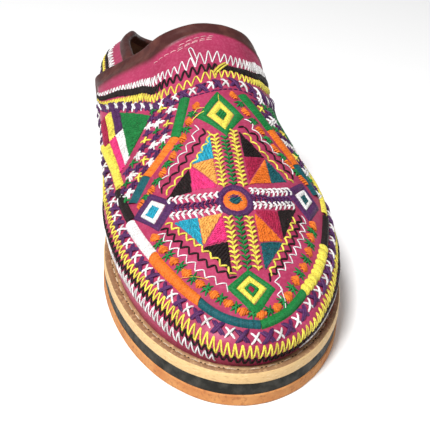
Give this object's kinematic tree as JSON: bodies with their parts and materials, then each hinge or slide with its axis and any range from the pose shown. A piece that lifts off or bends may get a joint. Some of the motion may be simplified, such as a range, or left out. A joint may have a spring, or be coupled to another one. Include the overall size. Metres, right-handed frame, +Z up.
{
  "type": "babouche slipper",
  "caption": "Embroidered pink leather slipper with a rounded toe, a rolled collar, a low heel counter and a flat layered sole.",
  "frame": {"origin": "centre of the sole's outline on the floor", "axes": "+X towards the outer side of the foot, +Y from toe to heel, +Z up"},
  "size_m": [0.102, 0.262, 0.0976],
  "materials": {
    "crepe": "matt orange-brown crepe",
    "rubber": "matt black",
    "tan_leather": "cut edge pale and fibrous, top smooth",
    "lining_leather": "smooth",
    "pink_leather": "smooth, a little worn"
  },
  "bodies": {
    "root": {"outsole": "crepe", "midsole": "rubber", "welt": "tan_leather", "insole": "lining_leather", "upper_vamp": "pink_leather", "upper_counter": "pink_leather"}
  },
  "joints": []
}
